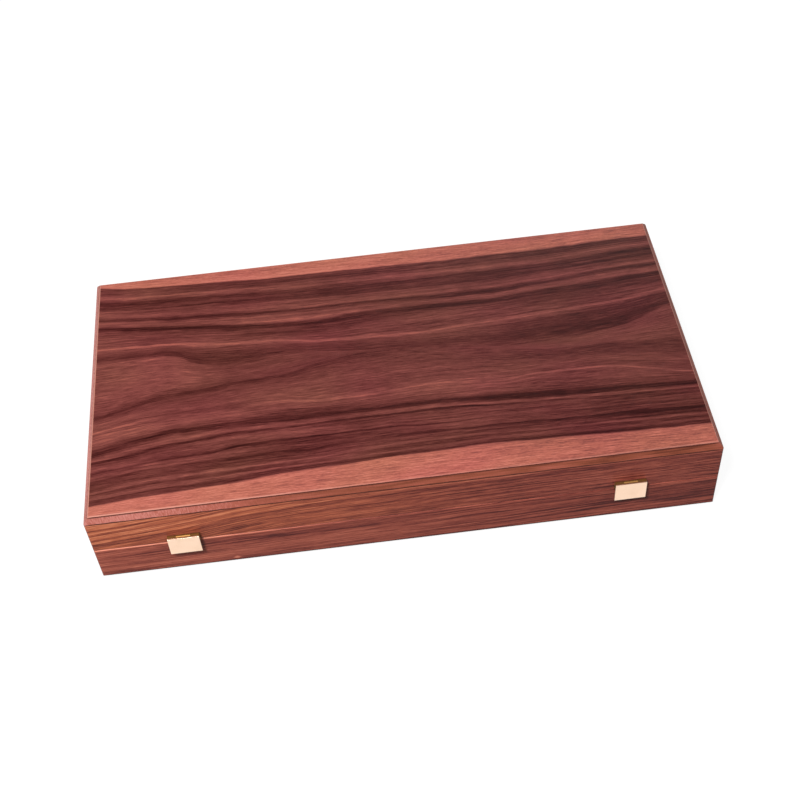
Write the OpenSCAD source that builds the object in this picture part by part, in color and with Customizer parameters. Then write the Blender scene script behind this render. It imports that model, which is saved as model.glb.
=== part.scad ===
// Folding wooden backgammon set: a veneered case that opens flat into the board.
// Each half is a bevelled panel with four mitred rails, a marquetry playing field and a checker tray.
// Two butt hinges join the halves at the back, and two flap catches hold them shut at the front.
// Frame: origin at the middle of the base's lower face, X along the hinges, front at -Y, Z up, shut.

/* [Case] */
// Length of the case, along the hinges
case_l = 480; // [440:1:560]
// Depth of the case, from the catches to the hinges
case_w = 256; // [230:1:300]
// Height of one half, from its outer face to the seam
half_h = 38; // [34:0.5:50]
// Thickness of the rails around each half
rail_t = 12; // [10:0.5:16]
// Thickness of the core board of each outer panel
panel_t = 5.4; // [4.6:0.2:8]
// Thickness of the veneer on the outer face of each panel
veneer_t = 0.6; // [0.4:0.1:0.9]
// Width of the bevel around each outer face
bevel_w = 4; // [2:0.5:8]
// Height of the bevel around each outer face
bevel_h = 5; // [2:0.2:5]
// Gap between the two rims at the seam
seam_gap = 0.4; // [0.3:0.1:1]
// Radius of the eased edges of a rail at the seam
ease_r = 0.8; // [0.3:0.1:1.5]
// Radius of the upright corners of the case
corner_r = 1.5; // [0.5:0.25:4]

/* [Playing field] */
// Thickness of the marquetry sheet on the inside of each panel
field_t = 1; // [0.6:0.1:2]
// Length of a point, from its base to its tip
point_l = 180; // [120:1:200]
// Bare ground between the bases of two neighbouring points
point_gap = 2; // [1:0.5:6]
// Bare ground between the rail and the base of a point
point_margin = 3; // [1:0.5:8]

/* [Tray] */
// Room on each side of a checker in the tray
tray_clear = 1; // [0.5:0.25:3]
// Thickness of the wall between the field and the tray
divider_t = 8; // [5:0.5:12]
// Drop from the rim to the top of that wall
divider_drop = 2; // [0.5:0.5:8]
// Length of the block in the middle of the tray
block_l = 12; // [8:1:24]
// Height of the block in the middle of the tray
block_h = 20; // [10:1:24]

/* [Checkers] */
// Diameter of a checker
checker_d = 30; // [26:0.5:32]
// Thickness of a checker
checker_t = 8; // [6:0.25:9]
// Radius of the rounded edge of a checker
checker_edge = 1.6; // [0.8:0.2:2.4]
// Diameter of the ring turned into each face of a checker, at its middle
ring_d = 19; // [12:0.5:21]
// Width of that ring
ring_w = 2; // [1:0.25:3]
// Depth of that ring
ring_depth = 0.6; // [0.3:0.1:1]
// Gap between two neighbouring stacks of checkers
stack_gap = 1; // [0.5:0.25:4]
// Air between two checkers in a stack
stack_air = 0.05; // [0.02:0.01:0.1]

/* [Dice] */
// Edge of a die
die_a = 12; // [9:0.5:13]
// Edge of the doubling cube
cube_a = 20; // [16:0.5:24]
// Gap left around a die or the doubling cube
dice_gap = 2; // [1:0.25:2.5]
// Radius of the ball that turns a pip
pip_r = 1.7; // [1.2:0.1:2]
// Depth of a pip
pip_depth = 0.5; // [0.2:0.1:0.8]

/* [Hinges] */
// Distance from the end of the case to a hinge
hinge_inset = 60; // [30:1:100]
// Length of a hinge
hinge_l = 60; // [40:1:80]
// Thickness of a hinge leaf
leaf_t = 1.2; // [1.2:0.1:2]
// Rail left bare beside a hinge leaf, on the inside
leaf_margin = 2; // [1:0.25:3]
// Radius of a hinge knuckle
knuckle_r = 2.5; // [2.2:0.1:3]
// Radius of a hinge pin
pin_r = 1.2; // [0.8:0.05:1.5]
// Distance of the pin's axis behind the back rails
axis_back = 0.5; // [0.4:0.1:1.5]
// Radius of a hinge screw's shank
screw_r = 1.1; // [0.8:0.05:1.2]
// Radius of a hinge screw's head
screw_head_r = 2.2; // [1.6:0.1:2.3]
// Length of a hinge screw
screw_l = 10; // [6:0.5:16]
// Distance between two screws of one leaf
screw_pitch = 22; // [14:1:24]

/* [Catches] */
// Distance from the end of the case to a catch
catch_inset = 57.5; // [25:0.5:120]
// Width of a catch
catch_w = 24; // [20:0.5:30]
// Reach of the flap above the seam
flap_above = 9.7; // [9.2:0.1:14]
// Reach of the flap below the seam
flap_below = 8.7; // [8.5:0.1:12]
// Thickness of the flap
flap_t = 1.1; // [0.8:0.1:1.6]
// Thickness of the catch plate and of the keeper
plate_t = 0.8; // [0.6:0.1:1]
// Radius of the catch's knuckles
catch_knuckle_r = 1.6; // [1.4:0.1:2]
// Radius of the catch's pin
catch_pin_r = 0.7; // [0.5:0.05:0.9]
// Width of the plate's knuckle, in the middle, which shows between the flap's two lugs
plate_knuckle_w = 11; // [6:0.5:12]
// Thickness of the lip at the flap's lower edge
lip_t = 1.2; // [0.8:0.1:1.5]
// Width of the lip and of the nose that it hooks under
lip_w = 16; // [10:0.5:18]
// Overlap of the lip under the nose
lip_bite = 1.2; // [0.6:0.1:1.6]
// Height of the keeper's nose
nose_h = 1.5; // [1:0.1:2]
// Reach of the keeper's nose in front of the keeper
nose_d = 2; // [1.4:0.1:2.4]
// Radius of a catch screw's shank
catch_screw_r = 0.75; // [0.5:0.05:0.8]
// Radius of a catch screw's head
catch_screw_head_r = 1.5; // [1:0.1:1.5]
// Length of a catch screw
catch_screw_l = 7; // [4:0.5:9]

/* [Clearances] */
// Running clearance on the radius of a pin, and of a screw in its hole
run_clear = 0.05; // [0.02:0.01:0.1]
// Clearance around a hinge leaf in its mortise
mortise_clear = 0.15; // [0.1:0.05:0.4]
// Clearance around a knuckle that turns past another piece
turn_clear = 0.35; // [0.3:0.05:0.6]

/* [Hidden] */
$fn = 64;
// Small overlap between two shapes that are joined, and overrun of a cut past the piece that it cuts
eps = 0.01;
over = 1;

// Straight pieces in a quarter of an eased edge
ease_steps = 4;

// Heights of one half, from its outer face
floor_z = panel_t + veneer_t;
rim_z = half_h - seam_gap / 2;
case_h = 2 * half_h;

// The inside of the case, and its split into a tray at the front and a field at the back
inner_l = case_l - 2 * rail_t;
tray_w = checker_d + 2 * tray_clear;
tray_y = -case_w / 2 + rail_t + tray_w / 2;
divider_y = -case_w / 2 + rail_t + tray_w;
field_y = divider_y + divider_t;
field_w = case_w / 2 - rail_t - field_y;
points_per_end = 6;
point_pitch = field_w / points_per_end;

// Fifteen checkers a side, in five stacks of three
stack_count = 5;
stack_high = 3;
edge_steps = 6;

// Turn of each die about the upright, and of the doubling cube
die_turns = [8, -6, -4, 7];
cube_turn = 9;
// Quarter turns that put a different face of each die on top
die_rolls = [[0, 0, 0], [90, 0, 0], [0, 90, 0], [180, 0, 90]];
most_turn = 10;
die_room = die_a * (cos(most_turn) + sin(most_turn)) + dice_gap;
cube_room = cube_a * (cos(most_turn) + sin(most_turn)) + dice_gap;
// Radius of the ball that rounds the corners of a die, and of the doubling cube, as a share of the edge
die_ball = 0.69;
cube_ball = 0.75;
// Distance of a pip from the middle of its face, as a share of the die's edge
pip_spread = 0.25;

// Hinges
hinge_x = case_l / 2 - hinge_inset - hinge_l / 2;
axis_y = case_w / 2 + axis_back;
leaf_w = axis_back + rail_t - leaf_margin;
knuckle_count = 5;
knuckle_l = hinge_l / knuckle_count;
knuckle_cut_r = knuckle_r + turn_clear;
screw_y = -(leaf_w + knuckle_cut_r) / 2;
screw_tip = 2.5;
tip_r = 0.25;
slot_w = 0.5;
slot_depth = 0.4;
hole_end = 0.3;

// Catches, from the front of the rails outwards and from the seam upwards
catch_x = case_l / 2 - catch_inset - catch_w / 2;
catch_axis_d = catch_knuckle_r + turn_clear;
catch_axis_z = flap_above - catch_knuckle_r;
flap_in_d = catch_axis_d + catch_knuckle_r + turn_clear;
flap_out_d = flap_in_d + flap_t;
plate_edge = 0.6;
plate_low_z = seam_gap / 2 + plate_edge;
plate_mid_z = catch_axis_z - catch_knuckle_r - turn_clear;
plate_screw_z = (plate_low_z + plate_mid_z) / 2;
plate_screw_x = catch_w / 3;
nose_out_d = plate_t + nose_d;
nose_low_z = -flap_below + lip_t + turn_clear;
lip_in_d = nose_out_d - lip_bite;
keeper_inset = 2;
keeper_w = catch_w - 2 * keeper_inset;
keeper_low_z = -flap_below + lip_t / 2;
keeper_high_z = -plate_low_z;
keeper_screw_z = (nose_low_z + nose_h + keeper_high_z) / 2;
keeper_screw_x = lip_w / 3;

SIDES = [["left", -1], ["right", 1]];
HALF_PIECES = [
    "face_veneer", "panel", "front_rail", "back_rail", "left_rail", "right_rail",
    "field_ground", "light_points", "dark_points", "tray_divider", "tray_block"
];
STACKS = [for (i = [1:stack_count]) i];

WALNUT = "#6b3a31";
SAPWOOD = "#b4685a";
PALE_WOOD = "#d9b98a";
DARK_WOOD = "#2e1b15";
BRASS = "#c9a25a";
IVORY = "#efe6d2";

// Shared shapes

// Mirrors a piece of the base into the lid
module to_lid() {
    translate([0, 0, case_h]) mirror([0, 0, 1]) children();
}

// Half of a panel's width at height z above its outer face
function half_at(width, z) = width / 2 - bevel_w * max(0, 1 - z / bevel_h);

// Section of a bevelled panel between two heights
function panel_section(width, z0, z1) = let (knee = min(max(bevel_h, z0), z1)) [
    [-half_at(width, z0), z0], [half_at(width, z0), z0],
    [half_at(width, knee), knee], [half_at(width, z1), z1],
    [-half_at(width, z1), z1], [-half_at(width, knee), knee]
];

// Points on an arc about a centre, from one angle to another
function arc(centre, r, from, to) = [
    for (i = [0:ease_steps]) let (a = from + (to - from) * i / ease_steps) centre + r * [cos(a), sin(a)]
];

module bevelled_slab(z0, z1) {
    intersection() {
        rotate([90, 0, 0])
            linear_extrude(case_w, center = true) polygon(panel_section(case_l, z0, z1));
        rotate([90, 0, 90])
            linear_extrude(case_l, center = true) polygon(panel_section(case_w, z0, z1));
    }
}

// A cylinder along X, about the middle of its length
module bar(r, l) {
    rotate([0, 90, 0]) cylinder(r = r, h = l, center = true);
}

// Countersunk screw pointing down from z = 0, whose head fills a plate of thickness t
module screw(head_r, shank_r, t, l) {
    difference() {
        union() {
            translate([0, 0, -t]) cylinder(r1 = shank_r, r2 = head_r, h = t);
            translate([0, 0, screw_tip - l]) cylinder(r = shank_r, h = l - screw_tip - t);
            translate([0, 0, -l]) cylinder(r1 = tip_r, r2 = shank_r, h = screw_tip);
        }
        translate([-head_r - over, -slot_w / 2, -slot_depth])
            cube([2 * (head_r + over), slot_w, slot_depth + over]);
    }
}

// Countersunk hole for that screw through the plate
module screw_hole(head_r, shank_r, t) {
    translate([0, 0, -t]) cylinder(r1 = shank_r + run_clear, r2 = head_r + run_clear, h = t);
    translate([0, 0, -t - over]) cylinder(r = shank_r + run_clear, h = t + over);
    cylinder(r = head_r + run_clear, h = over);
}

// Panels and rails

module face_veneer() {
    color(WALNUT) bevelled_slab(0, veneer_t);
}

module panel() {
    x = case_l / 2 - corner_r;
    y = case_w / 2 - corner_r;
    color(SAPWOOD) intersection() {
        bevelled_slab(veneer_t, floor_z);
        linear_extrude(floor_z) polygon(concat(
            arc([x, y], corner_r, 0, 90), arc([-x, y], corner_r, 90, 180),
            arc([-x, -y], corner_r, 180, 270), arc([x, -y], corner_r, 270, 360)
        ));
    }
}

// Plan of the front rail of a frame l long and w deep, mitred in the middle of each rounded corner
function rail_plan(l, w) = let (x = l / 2 - corner_r, y = corner_r - w / 2) concat(
    [[rail_t - l / 2, rail_t - w / 2], [l / 2 - rail_t, rail_t - w / 2]],
    arc([x, y], corner_r, -45, -90), arc([-x, y], corner_r, -90, -135)
);

// Section of that rail, with both edges eased at the rim
function rail_section(w) = let (y0 = -w / 2, y1 = rail_t - w / 2, z = rim_z - ease_r) concat(
    [[y0, floor_z], [y1, floor_z]],
    arc([y1 - ease_r, z], ease_r, 0, 90), arc([y0 + ease_r, z], ease_r, 90, 180)
);

module rail(l, w) {
    intersection() {
        linear_extrude(rim_z) polygon(rail_plan(l, w));
        rotate([90, 0, 90]) linear_extrude(l, center = true) polygon(rail_section(w));
    }
}

module left_rail() {
    color(WALNUT) rotate([0, 0, -90]) rail(case_w, case_l);
}

module right_rail() {
    color(WALNUT) rotate([0, 0, 90]) rail(case_w, case_l);
}

// The front rail, drilled for two catch screws at each catch, below the seam by drop
module front_rail(screw_x, drop) {
    color(WALNUT) difference() {
        rail(case_l, case_w);
        for (s = SIDES, k = [-1, 1])
            translate([s[1] * catch_x + k * screw_x, -case_w / 2, half_h - drop]) rotate([-90, 0, 0])
                translate([0, 0, -over])
                    cylinder(r = catch_screw_r + run_clear, h = over + catch_screw_l + hole_end);
    }
}

// The back rail, with a mortise, a knuckle groove and three screw holes at each hinge
module back_rail() {
    color(WALNUT) difference() {
        rotate([0, 0, 180]) rail(case_l, case_w);
        at_hinges(SIDES) {
            mortise_l = hinge_l + 2 * mortise_clear;
            translate([-mortise_l / 2, -leaf_w - mortise_clear, -seam_gap / 2 - leaf_t])
                cube([mortise_l, leaf_w + mortise_clear + over, leaf_t + over]);
            bar(knuckle_cut_r, mortise_l);
            at_hinge_screws() translate([0, 0, -screw_l - hole_end])
                cylinder(r = screw_r + run_clear, h = screw_l);
        }
    }
}

// Playing field and tray

// One point with its base at the left (-1) or right (1) end, on row j from the tray
module point_shape(side, j) {
    base_x = side * (inner_l / 2 - point_margin);
    y = field_y + (j + 0.5) * point_pitch;
    half = (point_pitch - point_gap) / 2;
    polygon([[base_x, y - half], [base_x, y + half], [base_x - side * point_l, y]]);
}

// Points whose tone is 0 or 1. Tones alternate along an end, face their opposite, and swap in the lid.
module points(tone, swap) {
    translate([0, 0, floor_z]) linear_extrude(field_t)
        for (s = SIDES, j = [0:points_per_end - 1])
            if ((j + (s[1] > 0 ? 1 : 0) + swap) % 2 == tone) point_shape(s[1], j);
}

module light_points(swap) {
    color(PALE_WOOD) points(0, swap);
}

module dark_points(swap) {
    color(DARK_WOOD) points(1, swap);
}

module field_ground() {
    color(WALNUT) translate([0, 0, floor_z]) linear_extrude(field_t) difference() {
        translate([-inner_l / 2, field_y]) square([inner_l, field_w]);
        for (s = SIDES, j = [0:points_per_end - 1]) point_shape(s[1], j);
    }
}

module tray_divider() {
    color(WALNUT) translate([-inner_l / 2, divider_y, floor_z])
        cube([inner_l, divider_t, rim_z - divider_drop - floor_z]);
}

module tray_block() {
    color(WALNUT) translate([-block_l / 2, divider_y - tray_w, floor_z]) cube([block_l, tray_w, block_h]);
}

// Hinges

// Places children on the pin axis of each hinge named in sides, at the seam
module at_hinges(sides) {
    for (s = sides) translate([s[1] * hinge_x, axis_y, half_h]) children();
}

// Places children at the top of each screw of a base leaf
module at_hinge_screws() {
    for (k = [-1:1]) translate([k * screw_pitch, screw_y, -seam_gap / 2]) children();
}

// Places children at the middle of each knuckle whose number is odd (1) or even (0)
module at_knuckles(odd) {
    for (i = [0:knuckle_count - 1]) if (i % 2 == odd)
        translate([(i + 0.5) * knuckle_l - hinge_l / 2, 0, 0]) children();
}

// A leaf lying under the seam with its own knuckles (odd or even), cut back from the other leaf's
module leaf(odd) {
    color(BRASS) difference() {
        union() {
            difference() {
                translate([-hinge_l / 2, -leaf_w, -seam_gap / 2 - leaf_t]) cube([hinge_l, leaf_w, leaf_t]);
                at_knuckles(1 - odd) bar(knuckle_cut_r, knuckle_l + eps);
            }
            at_knuckles(odd) bar(knuckle_r, knuckle_l - turn_clear);
        }
        bar(pin_r + run_clear, hinge_l + 2 * over);
        at_hinge_screws() screw_hole(screw_head_r, screw_r, leaf_t);
    }
}

module base_leaf(s) {
    at_hinges([s]) leaf(0);
}

module lid_leaf(s) {
    to_lid() at_hinges([s]) leaf(1);
}

module hinge_pin(s) {
    color(BRASS) at_hinges([s]) bar(pin_r, hinge_l);
}

module hinge_screws() {
    color(BRASS) at_hinges(SIDES) at_hinge_screws() screw(screw_head_r, screw_r, leaf_t, screw_l);
}

// Catches

// Places children on the front of the rails at the seam, at each catch named in sides
module at_catches(sides) {
    for (s = sides) translate([s[1] * catch_x, -case_w / 2, half_h]) children();
}

// A box from low to high: across X, outwards from the rail's face and upwards from the seam
module front_box(x0, x1, d0, d1, z0, z1) {
    translate([x0, -d1, z0]) cube([x1 - x0, d1 - d0, z1 - z0]);
}

// Places children at the catch's pin axis
module at_catch_axis() {
    translate([0, -catch_axis_d, catch_axis_z]) children();
}

// Places children, which point along -Z, at two screw heads on a plate and turns them into the rail
module at_catch_screws(x, z) {
    for (k = [-1, 1]) translate([k * x, -plate_t, z]) rotate([90, 0, 0]) children();
}

// The plate on the lid, with a tab in the middle that rolls into its knuckle
module catch_plate(s) {
    half_w = plate_knuckle_w / 2;
    color(BRASS) at_catches([s]) difference() {
        union() {
            front_box(-catch_w / 2, catch_w / 2, 0, plate_t, plate_low_z, plate_mid_z);
            front_box(-half_w, half_w, 0, plate_t, plate_mid_z - eps, catch_axis_z);
            at_catch_axis() bar(catch_knuckle_r, plate_knuckle_w);
        }
        at_catch_axis() bar(catch_pin_r + run_clear, catch_w + 2 * over);
        at_catch_screws(plate_screw_x, plate_screw_z) screw_hole(catch_screw_head_r, catch_screw_r, plate_t);
    }
}

// The flap, with two lugs that turn on the pin, flat on top, and a lip that hooks under the keeper's nose
module catch_flap(s) {
    lug_l = (catch_w - plate_knuckle_w) / 2 - turn_clear;
    lug_low_z = catch_axis_z - catch_knuckle_r;
    color(BRASS) at_catches([s]) difference() {
        union() {
            front_box(-catch_w / 2, catch_w / 2, flap_in_d, flap_out_d, -flap_below, flap_above);
            for (k = [-1, 1]) translate([k * (catch_w - lug_l) / 2, 0, 0]) {
                at_catch_axis() bar(catch_knuckle_r, lug_l);
                front_box(-lug_l / 2, lug_l / 2, catch_axis_d, flap_in_d + eps, lug_low_z, flap_above);
            }
            front_box(-lip_w / 2, lip_w / 2, lip_in_d, flap_in_d + eps, -flap_below, -flap_below + lip_t);
        }
        at_catch_axis() bar(catch_pin_r + run_clear, catch_w + 2 * over);
    }
}

module catch_pin(s) {
    color(BRASS) at_catches([s]) at_catch_axis() bar(catch_pin_r, catch_w);
}

module catch_keeper(s) {
    color(BRASS) at_catches([s]) difference() {
        union() {
            front_box(-keeper_w / 2, keeper_w / 2, 0, plate_t, keeper_low_z, keeper_high_z);
            front_box(-lip_w / 2, lip_w / 2, 0, nose_out_d, nose_low_z, nose_low_z + nose_h);
        }
        at_catch_screws(keeper_screw_x, keeper_screw_z)
            screw_hole(catch_screw_head_r, catch_screw_r, plate_t);
    }
}

module catch_screws(x, z) {
    color(BRASS) at_catches(SIDES) at_catch_screws(x, z)
        screw(catch_screw_head_r, catch_screw_r, plate_t, catch_screw_l);
}

// Checkers and dice

// Half section of a checker: a rounded edge, and a ring turned into both faces
function checker_section() = let (r = checker_d / 2, e = checker_edge, t = checker_t) concat(
    [[0, 0], [ring_d / 2 - ring_w / 2, 0], [ring_d / 2, ring_depth], [ring_d / 2 + ring_w / 2, 0]],
    [for (i = [0:edge_steps]) let (a = 90 * i / edge_steps) [r - e + e * sin(a), e - e * cos(a)]],
    [for (i = [0:edge_steps]) let (a = 90 * i / edge_steps) [r - e + e * cos(a), t - e + e * sin(a)]],
    [[ring_d / 2 + ring_w / 2, t], [ring_d / 2, t - ring_depth], [ring_d / 2 - ring_w / 2, t], [0, t]]
);

// Stack number i from the left (-1) or right (1) end of the base's tray
module checker_stack(side, i) {
    first_x = inner_l / 2 - tray_clear - checker_d / 2;
    translate([side * (first_x - (i - 1) * (checker_d + stack_gap)), tray_y, floor_z])
        for (k = [0:stack_high - 1]) translate([0, 0, k * (checker_t + stack_air)])
            rotate_extrude() polygon(checker_section());
}

module light_checkers(i) {
    color(PALE_WOOD) checker_stack(-1, i);
}

module dark_checkers(i) {
    color(DARK_WOOD) checker_stack(1, i);
}

// A cube cut by a ball
module rounded_cube(a, ball_r) {
    intersection() {
        cube(a, center = true);
        sphere(r = ball_r);
    }
}

// Places of the pips on a face that shows n, in steps from its middle
function pip_places(n) = concat(
    n % 2 == 1 ? [[0, 0]] : [],
    n > 1 ? [[-1, -1], [1, 1]] : [],
    n > 3 ? [[-1, 1], [1, -1]] : [],
    n == 6 ? [[-1, 0], [1, 0]] : []
);

// The balls that turn the pips of one face, on top of the die
module face_pips(n) {
    for (p = pip_places(n))
        translate([p[0] * pip_spread * die_a, p[1] * pip_spread * die_a, die_a / 2 + pip_r - pip_depth])
            sphere(r = pip_r);
}

// Opposite faces add up to seven
module die_shape() {
    difference() {
        rounded_cube(die_a, die_ball * die_a);
        face_pips(1);
        rotate([180, 0, 0]) face_pips(6);
        rotate([90, 0, 0]) face_pips(2);
        rotate([-90, 0, 0]) face_pips(5);
        rotate([0, 90, 0]) face_pips(3);
        rotate([0, -90, 0]) face_pips(4);
    }
}

// Die number k, of four that lie two by two in the tray, left of the block
module die(k) {
    x = -(block_l / 2 + die_room * (floor(k / 2) + 0.5));
    y = tray_y + (k % 2 - 0.5) * tray_w / 2;
    translate([x, y, floor_z + die_a / 2]) rotate([0, 0, die_turns[k]]) rotate(die_rolls[k]) die_shape();
}

module light_die(i) {
    color(IVORY) die(i - 1);
}

module dark_die(i) {
    color(DARK_WOOD) die(i + 1);
}

module doubling_cube() {
    color(IVORY) translate([block_l / 2 + cube_room / 2, tray_y, floor_z + cube_a / 2])
        rotate([0, 0, cube_turn]) rounded_cube(cube_a, cube_ball * cube_a);
}

face_veneer();  // base_face_veneer
panel();  // base_panel
front_rail(keeper_screw_x, -keeper_screw_z);  // base_front_rail
back_rail();  // base_back_rail
left_rail();  // base_left_rail
right_rail();  // base_right_rail
field_ground();  // base_field_ground
light_points(0);  // base_light_points
dark_points(0);  // base_dark_points
tray_divider();  // base_tray_divider
tray_block();  // base_tray_block
to_lid() face_veneer();  // lid_face_veneer
to_lid() panel();  // lid_panel
to_lid() front_rail(plate_screw_x, plate_screw_z);  // lid_front_rail
to_lid() back_rail();  // lid_back_rail
to_lid() left_rail();  // lid_left_rail
to_lid() right_rail();  // lid_right_rail
to_lid() field_ground();  // lid_field_ground
to_lid() light_points(1);  // lid_light_points
to_lid() dark_points(1);  // lid_dark_points
to_lid() tray_divider();  // lid_tray_divider
to_lid() tray_block();  // lid_tray_block
for (s = SIDES) {
    base_leaf(s);
    lid_leaf(s);
    hinge_pin(s);
    catch_plate(s);
    catch_flap(s);
    catch_pin(s);
    catch_keeper(s);
}
hinge_screws();  // hinge_base_screws
to_lid() hinge_screws();  // hinge_lid_screws
catch_screws(plate_screw_x, plate_screw_z);  // catch_plate_screws
catch_screws(keeper_screw_x, keeper_screw_z);  // catch_keeper_screws
for (i = STACKS) {
    light_checkers(i);
    dark_checkers(i);
}
for (i = [1, 2]) {
    light_die(i);
    dark_die(i);
}
doubling_cube();
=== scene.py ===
"""Looks of the folding backgammon set: its woods, brass, checkers and dice, the light and the camera."""
import math

import bmesh
import bpy
from mathutils import Matrix, Vector


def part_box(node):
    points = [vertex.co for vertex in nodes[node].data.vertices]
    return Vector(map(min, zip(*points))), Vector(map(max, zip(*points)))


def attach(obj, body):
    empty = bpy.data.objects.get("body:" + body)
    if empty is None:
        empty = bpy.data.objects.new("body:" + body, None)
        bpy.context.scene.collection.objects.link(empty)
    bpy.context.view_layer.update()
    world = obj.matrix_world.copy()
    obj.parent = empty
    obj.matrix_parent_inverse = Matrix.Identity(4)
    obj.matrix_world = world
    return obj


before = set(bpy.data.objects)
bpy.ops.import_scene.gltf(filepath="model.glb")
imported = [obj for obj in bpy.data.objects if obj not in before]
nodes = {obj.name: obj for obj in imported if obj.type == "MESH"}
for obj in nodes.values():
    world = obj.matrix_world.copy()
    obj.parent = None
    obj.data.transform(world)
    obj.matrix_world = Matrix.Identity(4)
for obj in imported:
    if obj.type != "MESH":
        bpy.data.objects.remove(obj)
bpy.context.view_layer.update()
scene = bpy.context.scene

# Measures of the case in millimetres, in the frame's own axes
MM = 0.001
CASE_L, CASE_W, CASE_H = 480.0, 256.0, 76.0
SEAM_Z = CASE_H / 2
BEVEL_W = 4.0        # width of the bevel around each face
VENEER_T = 0.6
PANEL_T = 6.0        # from a face to the rails, and to the floor of the tray
RAIL_T = 12.0
STACK_PITCH = 31.0   # from one stack of checkers to the next
DISC_PITCH = 8.05    # from one checker of a stack to the next

# Words that the nodes' names are made of
SIDES = ("left", "right")
HALVES = ("base", "lid")
STACKS = range(1, 6)


# Node graphs

class Graph:
    """A node tree, with short names for the nodes that are used here."""

    STILL = (0.0, 0.0)   # an axis along which a texture doesn't change

    def __init__(self, tree):
        self.tree = tree

    def node(self, kind, inputs=None, **settings):
        """Adds a node, with its settings and what its inputs take."""
        made = self.tree.nodes.new("ShaderNode" + kind)
        for key, value in settings.items():
            setattr(made, key, value)
        for key, value in (inputs or {}).items():
            self.feed(made.inputs[key], value)
        return made

    def feed(self, socket, value):
        """Links a socket to another one, or sets it to a constant."""
        if isinstance(value, bpy.types.NodeSocket):
            self.tree.links.new(value, socket)
        else:
            socket.default_value = value

    def math(self, operation, *values):
        return self.node("Math", dict(enumerate(values)), operation=operation).outputs[0]

    def add(self, *values):
        total = values[0]
        for value in values[1:]:
            total = self.math("ADD", total, value)
        return total

    def times(self, first, second):
        return self.math("MULTIPLY", first, second)

    def most(self, first, second):
        return self.math("MAXIMUM", first, second)

    def scale(self, value, factor, offset=0.0):
        return self.math("MULTIPLY_ADD", value, factor, offset)

    def weigh(self, start, *parts):
        """start, plus the value of each part times its weight."""
        total = start
        for value, weight in parts:
            total = self.scale(value, weight, total)
        return total

    def away(self, value, centre=0.0):
        """Distance of value from centre, on either side."""
        return self.math("ABSOLUTE", self.scale(value, 1, -centre))

    def share(self, value, size):
        """Place along a length that is centred on zero, from 0 to 1."""
        return self.scale(value, 1 / size, 0.5)

    def span(self, value, low, high, to_low=0.0, to_high=1.0, smooth=False):
        """value from low..high to to_low..to_high, held at the ends."""
        limits = {"Value": value, "From Min": low, "From Max": high, "To Min": to_low, "To Max": to_high}
        kind = "SMOOTHSTEP" if smooth else "LINEAR"
        return self.node("MapRange", limits, clamp=True, interpolation_type=kind).outputs[0]

    def point(self, along, across, depth, seed):
        """Place in a texture: three values, each with its rate per millimetre, moved along by seed."""
        axes = (self.scale(*along, seed), self.scale(*across), self.scale(*depth))
        return self.node("CombineXYZ", dict(enumerate(axes))).outputs[0]

    def noise(self, along, across=STILL, depth=STILL, seed=0.0, detail=2.0, roughness=0.5, swing=1.0):
        """Noise around zero, from -swing to swing. Each axis is a value and its rate per millimetre."""
        place = self.point(along, across, depth, seed)
        inputs = {"Vector": place, "Scale": 1.0, "Detail": detail, "Roughness": roughness}
        return self.scale(self.node("TexNoise", inputs).outputs["Fac"], 2 * swing, -swing)

    def curve(self, value, points):
        """A curve through given points, both axes from 0 to 1."""
        made = self.node("FloatCurve", {"Value": value})
        line = made.mapping.curves[0]
        for point, spot in zip(line.points, (points[0], points[-1])):
            point.location = spot
        for spot in points[1:-1]:
            line.points.new(*spot)
        for point in line.points:
            point.handle_type = "AUTO_CLAMPED"
        made.mapping.update()
        return made.outputs[0]

    def ramp(self, value, stops):
        """Colour by value, through stops of a position and a colour."""
        made = self.node("ValToRGB", {"Fac": value})
        elements = made.color_ramp.elements
        while len(elements) < len(stops):
            elements.new(0.5)
        for element, (position, colour) in zip(elements, stops):
            element.position = position
            element.color = colour
        return made.outputs[0]

    def mix(self, factor, first, second):
        """A mix of two colours. The node's colour sockets are found by number, as their names repeat."""
        made = self.node("Mix", {0: factor, 6: first, 7: second}, data_type="RGBA")
        return made.outputs[2]


class Look(Graph):
    """A material's node graph. Lengths in it are millimetres in the frame, at rest."""

    def __init__(self, name, **shader):
        self.material = bpy.data.materials.new(name)
        self.material.use_nodes = True
        super().__init__(self.material.node_tree)
        self.shader = self.tree.nodes["Principled BSDF"]
        for socket, value in shader.items():
            self.paint(socket.replace("_", " "), value)
        place = self.node("TexCoord").outputs["Object"]
        scaled = self.node("VectorMath", {0: place, "Scale": 1 / MM}, operation="SCALE").outputs[0]
        self.x, self.y, self.z = self.node("SeparateXYZ", {0: scaled}).outputs

    def paint(self, socket, value):
        """Links or sets a socket of the shader."""
        self.feed(self.shader.inputs[socket], value)

    def bump(self, height, distance, strength):
        made = self.node("Bump", {"Height": height, "Distance": distance * MM, "Strength": strength})
        self.paint("Normal", made.outputs[0])

    def cloud(self, rate, detail, seed=0.0):
        """Noise that changes at the same rate in all directions."""
        return self.noise((self.x, rate), (self.y, rate), (self.z, rate), seed=seed, detail=detail)

    def past_outline(self, inset):
        """Distance outside the case's outline drawn in by inset, negative inside it."""
        return self.most(self.scale(self.away(self.x), 1, inset - CASE_L / 2),
                         self.scale(self.away(self.y), 1, inset - CASE_W / 2))


# Colours

def linear(channel):
    """One channel of a screen colour, 0 to 255, in linear light."""
    share = channel / 255
    return share / 12.92 if share <= 0.04045 else ((share + 0.055) / 1.055) ** 2.4


def lit(gain, colour):
    """A screen colour as linear RGBA, scaled by gain."""
    return tuple(gain * linear(channel) for channel in colour) + (1.0,)


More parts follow.
